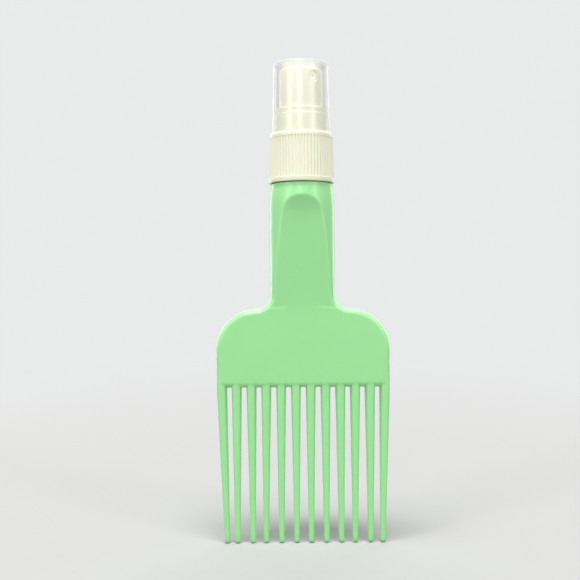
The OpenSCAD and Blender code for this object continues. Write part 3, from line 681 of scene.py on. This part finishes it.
skirt_top_r = skirt_r(CLOSURE_TOP - CLOSURE_ROUND) - RIB_SINK
sleeve_foot_r = sleeve_r(CLOSURE_TOP)
rib_heights = [BAND_TOP + rise for rise in (0.12, 0.3, 0.6)] + [158, 162, 166]
rib_heights += [RIB_TOP - drop for drop in (0.6, 0.3, 0)]
closure_section = (
    [(CLOSURE_BORE_R, CLOSURE_Z + EDGE), (CLOSURE_BORE_R + EDGE, CLOSURE_Z)]
    + arc(CLOSURE_R - EDGE, CLOSURE_Z + EDGE, EDGE, -90, 0)
    + [(CLOSURE_R, BAND_TOP)]
    + [(skirt_r(z) - RIB_SINK, z) for z in rib_heights]
    + arc(skirt_top_r - CLOSURE_ROUND, CLOSURE_TOP - CLOSURE_ROUND, CLOSURE_ROUND, 0, 90, 7)
    + [(sleeve_foot_r + SLEEVE_FILLET, CLOSURE_TOP), (sleeve_foot_r, CLOSURE_TOP + SLEEVE_FILLET)]
    + arc(sleeve_r(SLEEVE_TOP) - EDGE, SLEEVE_TOP - EDGE, EDGE, 0, 90, 4)
    + [(RING_R + RING_FILLET, SLEEVE_TOP), (RING_R, SLEEVE_TOP + RING_FILLET)]
    + arc(RING_R - RING_ROUND, RING_TOP - RING_ROUND, RING_ROUND, 0, 90)
    + arc(RING_BORE_R + SMALL_EDGE, RING_TOP - SMALL_EDGE, SMALL_EDGE, 90, 180, 3)
    + [(RING_BORE_R, CLOSURE_TOP + SMALL_EDGE), (RING_BORE_R - SMALL_EDGE, CLOSURE_TOP)]
    + [(LEDGE_R + SMALL_EDGE, CLOSURE_TOP), (LEDGE_R, CLOSURE_TOP - SMALL_EDGE), (LEDGE_R, FLANGE_TOP)]
    + [(CLOSURE_BORE_R - SMALL_EDGE, FLANGE_TOP), (CLOSURE_BORE_R, FLANGE_TOP - SMALL_EDGE)]
)
rib_turn = 360 / RIB_COUNT
closure = spun_piece("closure_moulding", closure_section, RIB_STEPS, rib_turn)
closure.data.transform(Matrix.Rotation(math.radians(rib_turn / 2), 4, "Z"))
for vertex in closure.data.vertices:
    radius, z = math.hypot(vertex.co.x, vertex.co.y), vertex.co.z / MM
    if radius / MM < CLOSURE_BORE_R + EDGE or not BAND_TOP < z < RIB_TOP:
        continue
    off_centre = abs(math.atan2(vertex.co.y, vertex.co.x)) * radius / MM
    centre_out = GROOVE_R - GROOVE_DEPTH
    depth = math.sqrt(max(GROOVE_R**2 - off_centre**2, 0)) - centre_out
    depth *= min((z - BAND_TOP) / RIB_FADE, (RIB_TOP - z) / RIB_FADE, 1)
    shrink = 1 - max(depth, 0) * MM / radius
    vertex.co.x *= shrink
    vertex.co.y *= shrink
select_only(closure)
bpy.ops.object.mode_set(mode="EDIT")
bpy.ops.mesh.select_all(action="SELECT")
bpy.ops.mesh.spin(
    steps=RIB_COUNT - 1, angle=math.radians(360 - rib_turn), dupli=True, center=(0, 0, 0), axis=(0, 0, 1),
)
bpy.ops.object.mode_set(mode="OBJECT")
close_mesh(closure)
# The closure's thread hangs just under the neck's, which it pulls up against
THREAD_DROP = 1.25
THREAD_OVERLAP = 0.55
INNER_ROOT_HALF_W = 0.75
INNER_CREST_HALF_W = 0.34
combine(closure, thread_piece(
    "closure_thread", CLOSURE_BORE_R, THREAD_R - THREAD_OVERLAP, INNER_ROOT_HALF_W, INNER_CREST_HALF_W,
    NECK_THREAD_Z - THREAD_DROP,
), "UNION")
select_only(closure)
bpy.ops.object.shade_smooth_by_angle(angle=math.radians(30))
# Polypropylene, pigmented white and moulded: a warm, slightly yellow white with a dull gloss
white_pp_body = {"IOR": 1.49, "Subsurface Weight": 0.2, "Subsurface Scale": 1.2 * MM}
closure_pp = moulded_plastic(
    "warm white moulded polypropylene", "#E4E4CD", "#E0E0C7", "#EFEEDC", 0.36, 9, 0.012, white_pp_body,
)
dress(closure, closure_pp, "closure_white", "closure_ring", "closure")

# Actuator
# The button is a hollow white polypropylene moulding with a dished top. It is pushed onto the stem, and
# its nozzle pocket looks out to the right of the front, where it shows through the hood.
ACTUATOR_Z = 178.0
ACTUATOR_TOP = 199.2
ACTUATOR_R = 9.1
ACTUATOR_TOP_R = 9.0
ACTUATOR_WALL = 1.2
ACTUATOR_ROUND = 0.8
DISH_R = 7.6
DISH_DEPTH = 0.7
CEILING_Z = 197.0
BOSS_Z = 181.8
BOSS_R = 3.2
SOCKET_R = 1.94
SOCKET_TOP = 186.3
FEED_R = 0.5
FEED_Z = 196.6
NOZZLE_TURN = math.radians(35)
NOZZLE_Z = 195.4
NOZZLE_X = 5.818
INSERT_R = 2.2
INSERT_LEN = 2.9
POCKET_R = 2.22
POCKET_WALL = 0.7
PIN_R = 1.2
PIN_LEN = 2.0
BOSS_EDGE = 0.3
CEILING_FILLET = 0.4
inner_r = ACTUATOR_R - ACTUATOR_WALL
inner_top_r = ACTUATOR_TOP_R - ACTUATOR_WALL
dish_curve = (DISH_R**2 + DISH_DEPTH**2) / 2 / DISH_DEPTH
dish_turn = math.degrees(math.asin(DISH_R / dish_curve))
actuator_section = (
    [(inner_r, ACTUATOR_Z + SMALL_EDGE), (inner_r + SMALL_EDGE, ACTUATOR_Z)]
    + arc(ACTUATOR_R - SMALL_EDGE, ACTUATOR_Z + SMALL_EDGE, SMALL_EDGE, -90, 0, 3)
    + arc(ACTUATOR_TOP_R - ACTUATOR_ROUND, ACTUATOR_TOP - ACTUATOR_ROUND, ACTUATOR_ROUND, 0, 90, 7)
    + arc(0, ACTUATOR_TOP - DISH_DEPTH + dish_curve, dish_curve, dish_turn - 90, -90, 8)
    + [(0, FEED_Z), (FEED_R, FEED_Z), (FEED_R, SOCKET_TOP), (SOCKET_R, SOCKET_TOP)]
    + [(SOCKET_R, BOSS_Z + BOSS_EDGE), (SOCKET_R + BOSS_EDGE, BOSS_Z)]
    + [(BOSS_R - BOSS_EDGE, BOSS_Z), (BOSS_R, BOSS_Z + BOSS_EDGE)]
    + [(BOSS_R, CEILING_Z - CEILING_FILLET), (BOSS_R + CEILING_FILLET, CEILING_Z)]
    + [(inner_top_r - CEILING_FILLET, CEILING_Z), (inner_top_r, CEILING_Z - CEILING_FILLET)]
)
actuator = spun_piece("actuator_button", actuator_section)
close_mesh(actuator)


def toward_nozzle(piece, z):
    """Lays a piece that was made on the pick's axis along the nozzle's line."""
    lay_down = Matrix.Rotation(math.radians(90), 4, "Y")
    face_nozzle = Matrix.Rotation(NOZZLE_TURN - math.radians(90), 4, "Z")
    piece.data.transform(Matrix.Translation((0, 0, z * MM)) @ face_nozzle @ lay_down)
    return piece


# Sections along the nozzle's line, as radius and distance from the pick's axis. The pocket flares a
# little where it opens in the button's side.
POCKET_BACK = 1.5
POCKET_STEPS = 48
FLARE_START = 0.35
FLARE_SPREAD = 0.6
CUT_PAST = 0.4
FEED_BACK = 0.2
FEED_PAST = 0.5
FEED_INSET = 0.02
FEED_STEPS = 24
boss_r = POCKET_R + POCKET_WALL
boss_end = ACTUATOR_TOP_R - POCKET_WALL
cut_end = ACTUATOR_TOP_R + CUT_PAST
pin_end = NOZZLE_X + PIN_LEN
feed_r = FEED_R - FEED_INSET
feed_end = NOZZLE_X + FEED_PAST
pocket_boss = spun_piece("pocket_boss", [
    (0, POCKET_BACK), (boss_r, POCKET_BACK), (boss_r, boss_end), (0, boss_end),
], POCKET_STEPS)
pocket = spun_piece("pocket", [
    (PIN_R, NOZZLE_X), (POCKET_R, NOZZLE_X), (POCKET_R, ACTUATOR_TOP_R - FLARE_START),
    (POCKET_R + FLARE_SPREAD, cut_end), (0, cut_end), (0, pin_end), (PIN_R, pin_end),
], POCKET_STEPS)
feed = spun_piece("feed", [
    (0, -FEED_BACK), (feed_r, -FEED_BACK), (feed_r, feed_end), (0, feed_end),
], FEED_STEPS)
for tool, z, operation in (
    (pocket_boss, NOZZLE_Z, "UNION"), (pocket, NOZZLE_Z, "DIFFERENCE"), (feed, FEED_Z, "DIFFERENCE"),
):
    close_mesh(tool)
    combine(actuator, toward_nozzle(tool, z), operation)
select_only(actuator)
bpy.ops.object.shade_smooth_by_angle(angle=math.radians(30))
# The same plastic with more white pigment: paler and cleaner, with the same dull gloss
button_pp = moulded_plastic(
    "white moulded polypropylene", "#F3F1DE", "#F0EED8", "#F7F6EC", 0.36, 9, 0.012, white_pp_body,
)
dress(actuator, button_pp, "actuator_white", "button", "actuator")

# Nozzle insert
# A small acetal cup pressed into the button's pocket over its pin. Its face is dished down to the
# orifice that makes the mist.
ORIFICE_R = 0.2
CUP_WALL = 0.7
PIN_GAP = 0.2
insert_section = (
    [(ORIFICE_R, INSERT_LEN - CUP_WALL), (ORIFICE_R, INSERT_LEN - CUP_WALL / 2), (0.55, INSERT_LEN - 0.12)]
    + [(0.9, INSERT_LEN - 0.08), (1.5, INSERT_LEN)]
    + [(INSERT_R - SMALL_EDGE, INSERT_LEN), (INSERT_R, INSERT_LEN - SMALL_EDGE)]
    + [(INSERT_R, SMALL_EDGE), (INSERT_R - SMALL_EDGE, 0)]
    + [(PIN_R + PIN_GAP, 0), (PIN_R + PIN_GAP, INSERT_LEN - CUP_WALL)]
)
insert = spun_piece("nozzle_cup", [(radius, NOZZLE_X + along) for radius, along in insert_section], 64)
close_mesh(insert)
toward_nozzle(insert, NOZZLE_Z)
select_only(insert)
bpy.ops.object.shade_smooth_by_angle(angle=math.radians(30))
# Acetal, moulded: harder than the button round it and a shade whiter, so that it just shows
white_acetal = moulded_plastic(
    "white moulded acetal", "#F6F4E4", "#F3F1E0", "#FAF9EF", 0.3, 9, 0.005, {"IOR": 1.48},
)
dress(insert, white_acetal, "insert_white", "button", "nozzle_insert")

# Hood
# A thin clear polypropylene cup that is pushed over the sleeve and stands on the closure's shoulder. Its
# walls are a little milky, and its flat top has the small dimple of the moulding gate.
HOOD_ROUND = 1.0
RIM_INNER_ROUND = 0.15
RIM_OUTER_ROUND = 0.2
GATE_R = 1.2
GATE_DEPTH = 0.2
hood_heights = (178, 184, 190, 196)
hood_ceiling = HOOD_TOP - HOOD_WALL
inner_round = HOOD_ROUND / 2
hood_section = (
    arc(HOOD_R - HOOD_WALL + RIM_INNER_ROUND, CLOSURE_TOP + RIM_INNER_ROUND, RIM_INNER_ROUND, 180, 270, 3)
    + arc(HOOD_R - RIM_OUTER_ROUND, CLOSURE_TOP + RIM_OUTER_ROUND, RIM_OUTER_ROUND, -90, 0, 3)
    + [(hood_r(z), z) for z in hood_heights]
    + arc(hood_r(HOOD_TOP - HOOD_ROUND) - HOOD_ROUND, HOOD_TOP - HOOD_ROUND, HOOD_ROUND, 0, 90, 7)
    + [(8, HOOD_TOP - 0.02), (4, HOOD_TOP - 0.05), (GATE_R, HOOD_TOP - 0.06)]
    + [(GATE_R - GATE_DEPTH, HOOD_TOP - GATE_DEPTH), (0, HOOD_TOP - GATE_DEPTH), (0, hood_ceiling)]
    + arc(hood_r(hood_ceiling) - HOOD_WALL - inner_round, hood_ceiling - inner_round, inner_round, 90, 0)
    + [(hood_r(z) - HOOD_WALL, z) for z in hood_heights[::-1]]
)
hood = spun_piece("hood_cup", hood_section)
close_mesh(hood)
select_only(hood)
bpy.ops.object.shade_smooth_by_angle(angle=math.radians(30))
# Unpigmented polypropylene, moulded thin: see-through but milky, and glossy. The line of sight runs
# far through the wall at its edges, so there the milkiness is all that shows.
clear_pp = moulded_plastic(
    "translucent moulded polypropylene", "#CBCCC7", "#C6C7C2", "#DADAD7", 0.2, 12, 0.006, {"IOR": 1.49},
)
milky_wall = clear_pp.node_tree.nodes["Principled BSDF"]
wall_slant = add_node(clear_pp, "ShaderNodeLayerWeight", {"Blend": 0.5})
milkiness = add_node(clear_pp, "ShaderNodeMapRange", {
    "Value": wall_slant.outputs["Facing"],
    "From Min": 0.25, "From Max": 0.9, "To Min": 0.07, "To Max": 0.48,
})
clear_pp.node_tree.links.new(milkiness.outputs["Result"], milky_wall.inputs["Alpha"])
# Its gloss is as strong where it is clear as where it is milky
wall_gloss = add_node(
    clear_pp, "ShaderNodeBsdfAnisotropic", {"Color": linear("#FFFFFF"), "Roughness": 0.27},
)
grazing = add_node(clear_pp, "ShaderNodeMath", {0: wall_slant.outputs["Facing"], 1: 5}, operation="POWER")
sheen = add_node(
    clear_pp, "ShaderNodeMath", {0: grazing.outputs["Value"], 1: 0.25, 2: 0.024}, operation="MULTIPLY_ADD",
)
glossy_wall = add_node(clear_pp, "ShaderNodeMixShader", {
    0: sheen.outputs["Value"], 1: milky_wall.outputs["BSDF"], 2: wall_gloss.outputs["BSDF"],
})
# A lamp shines straight through so thin a wall, and lights what it covers
clear_rays = add_node(clear_pp, "ShaderNodeLightPath").outputs
lamp_ray = add_node(clear_pp, "ShaderNodeMath", {
    0: clear_rays["Is Shadow Ray"], 1: clear_rays["Is Diffuse Ray"],
}, operation="MAXIMUM")
let_through = add_node(clear_pp, "ShaderNodeBsdfTransparent", {"Color": linear("#FBFCFA")})
thin_wall = add_node(clear_pp, "ShaderNodeMixShader", {
    0: lamp_ray.outputs["Value"], 1: glossy_wall.outputs["Shader"], 2: let_through.outputs["BSDF"],
})
hood_output = clear_pp.node_tree.nodes["Material Output"]
clear_pp.node_tree.links.new(thin_wall.outputs["Shader"], hood_output.inputs["Surface"])
dress(hood, clear_pp, "hood_clear", "cap", "hood")

# Floor and studio light
# A plain pale floor that fades into pale surroundings. A wide soft lamp high in front lights the pick,
# tall ones to the left and right and a weak one at the front fill in, and three behind draw its edges.
PALE = "#E9EAEA"
FLOOR_NEAR = 0.16
FLOOR_FAR = 0.72
LAMP_AIM_Z = 0.11


def seen_directly(owner):
    """1 for what the camera sees, straight or in a gloss or through something clear, and 0 for light."""
    rays = add_node(owner, "ShaderNodeLightPath").outputs
    gloss = add_node(owner, "ShaderNodeMath", {
        0: rays["Is Camera Ray"], 1: rays["Is Glossy Ray"],
    }, operation="MAXIMUM").outputs["Value"]
    return add_node(owner, "ShaderNodeMath", {
        0: gloss, 1: rays["Is Transmission Ray"],
    }, operation="MAXIMUM").outputs["Value"]


bpy.ops.mesh.primitive_plane_add(size=8, location=(0, 0, 0))
floor = named("studio_floor")
# Matt paint: no gloss of its own. It is darker as a thing to look at than the surroundings it fades into,
# so that the lamps leave it about as pale as they are, and less bright still as a reflector.
floor_paint = bpy.data.materials.new("matt studio floor")
floor_paint.use_nodes = True
floor_shader = floor_paint.node_tree.nodes["Principled BSDF"]
floor_shader.inputs["Roughness"].default_value = 0.8
floor_shader.inputs["Specular IOR Level"].default_value = 0.1
floor_seen = seen_directly(floor_paint)
floor_colour = add_node(floor_paint, "ShaderNodeMix", {
    0: floor_seen, 6: linear("#989898"), 7: linear("#AAAAA9"),
}, data_type="RGBA")
floor_paint.node_tree.links.new(floor_colour.outputs[2], floor_shader.inputs["Base Color"])
floor_place = add_node(floor_paint, "ShaderNodeTexCoord").outputs["Object"]
floor_distance = add_node(floor_paint, "ShaderNodeVectorMath", {0: floor_place}, operation="LENGTH")
floor_fade = add_node(floor_paint, "ShaderNodeMapRange", {
    "Value": floor_distance.outputs["Value"], "From Min": FLOOR_NEAR, "From Max": FLOOR_FAR,
}, interpolation_type="SMOOTHERSTEP")
floor_faded = add_node(floor_paint, "ShaderNodeMath", {
    0: floor_fade.outputs["Result"], 1: floor_seen,
}, operation="MULTIPLY")
floor_glow = add_node(floor_paint, "ShaderNodeEmission", {"Color": linear(PALE), "Strength": 1})
floor_mix = add_node(floor_paint, "ShaderNodeMixShader", {
    0: floor_faded.outputs["Value"], 1: floor_shader.outputs["BSDF"], 2: floor_glow.outputs["Emission"],
})
floor_output = floor_paint.node_tree.nodes["Material Output"]
floor_paint.node_tree.links.new(floor_mix.outputs["Shader"], floor_output.inputs["Surface"])
floor.data.materials.append(floor_paint)

studio = bpy.data.worlds.new("studio")
bpy.context.scene.world = studio
studio.use_nodes = True
studio_light = studio.node_tree.nodes["Background"]
studio_light.inputs["Color"].default_value = linear("#F4F5F6")
studio_light.inputs["Strength"].default_value = 0.3
studio_seen = add_node(studio, "ShaderNodeBackground", {"Color": linear(PALE), "Strength": 1})
studio_mix = add_node(studio, "ShaderNodeMixShader", {
    0: seen_directly(studio), 1: studio_light.outputs["Background"], 2: studio_seen.outputs["Background"],
})
studio_output = studio.node_tree.nodes["World Output"]
studio.node_tree.links.new(studio_mix.outputs["Shader"], studio_output.inputs["Surface"])


def soft_lamp(name, place, width, height, power):
    """A soft lamp in metres and watts, aimed near the middle of the pick."""
    bpy.ops.object.light_add(type="AREA", location=place)
    light = bpy.context.object
    light.name = name
    light.data.shape = "RECTANGLE"
    light.data.size, light.data.size_y = width, height
    light.data.energy = power
    aim = Vector((0, 0, LAMP_AIM_Z)) - Vector(place)
    light.rotation_euler = aim.to_track_quat("-Z", "Y").to_euler()


soft_lamp("left_lamp", (-0.75, -0.63, 0.4), 0.22, 0.9, 2.9)
soft_lamp("right_lamp", (0.75, -0.65, 0.35), 0.2, 0.9, 2.9)
soft_lamp("top_lamp", (-0.25, -0.95, 3.9), 2.8, 1.2, 205)
soft_lamp("front_lamp", (-0.1, -0.9, 0.45), 0.14, 0.4, 1.2)
soft_lamp("back_lamp", (0.1, 0.7, 0.8), 0.9, 0.25, 3.0)
soft_lamp("left_edge_lamp", (-0.52, 0.68, 0.3), 0.2, 0.7, 1.5)
soft_lamp("right_edge_lamp", (0.52, 0.68, 0.3), 0.2, 0.7, 1.2)
bpy.context.scene.view_settings.view_transform = "Standard"
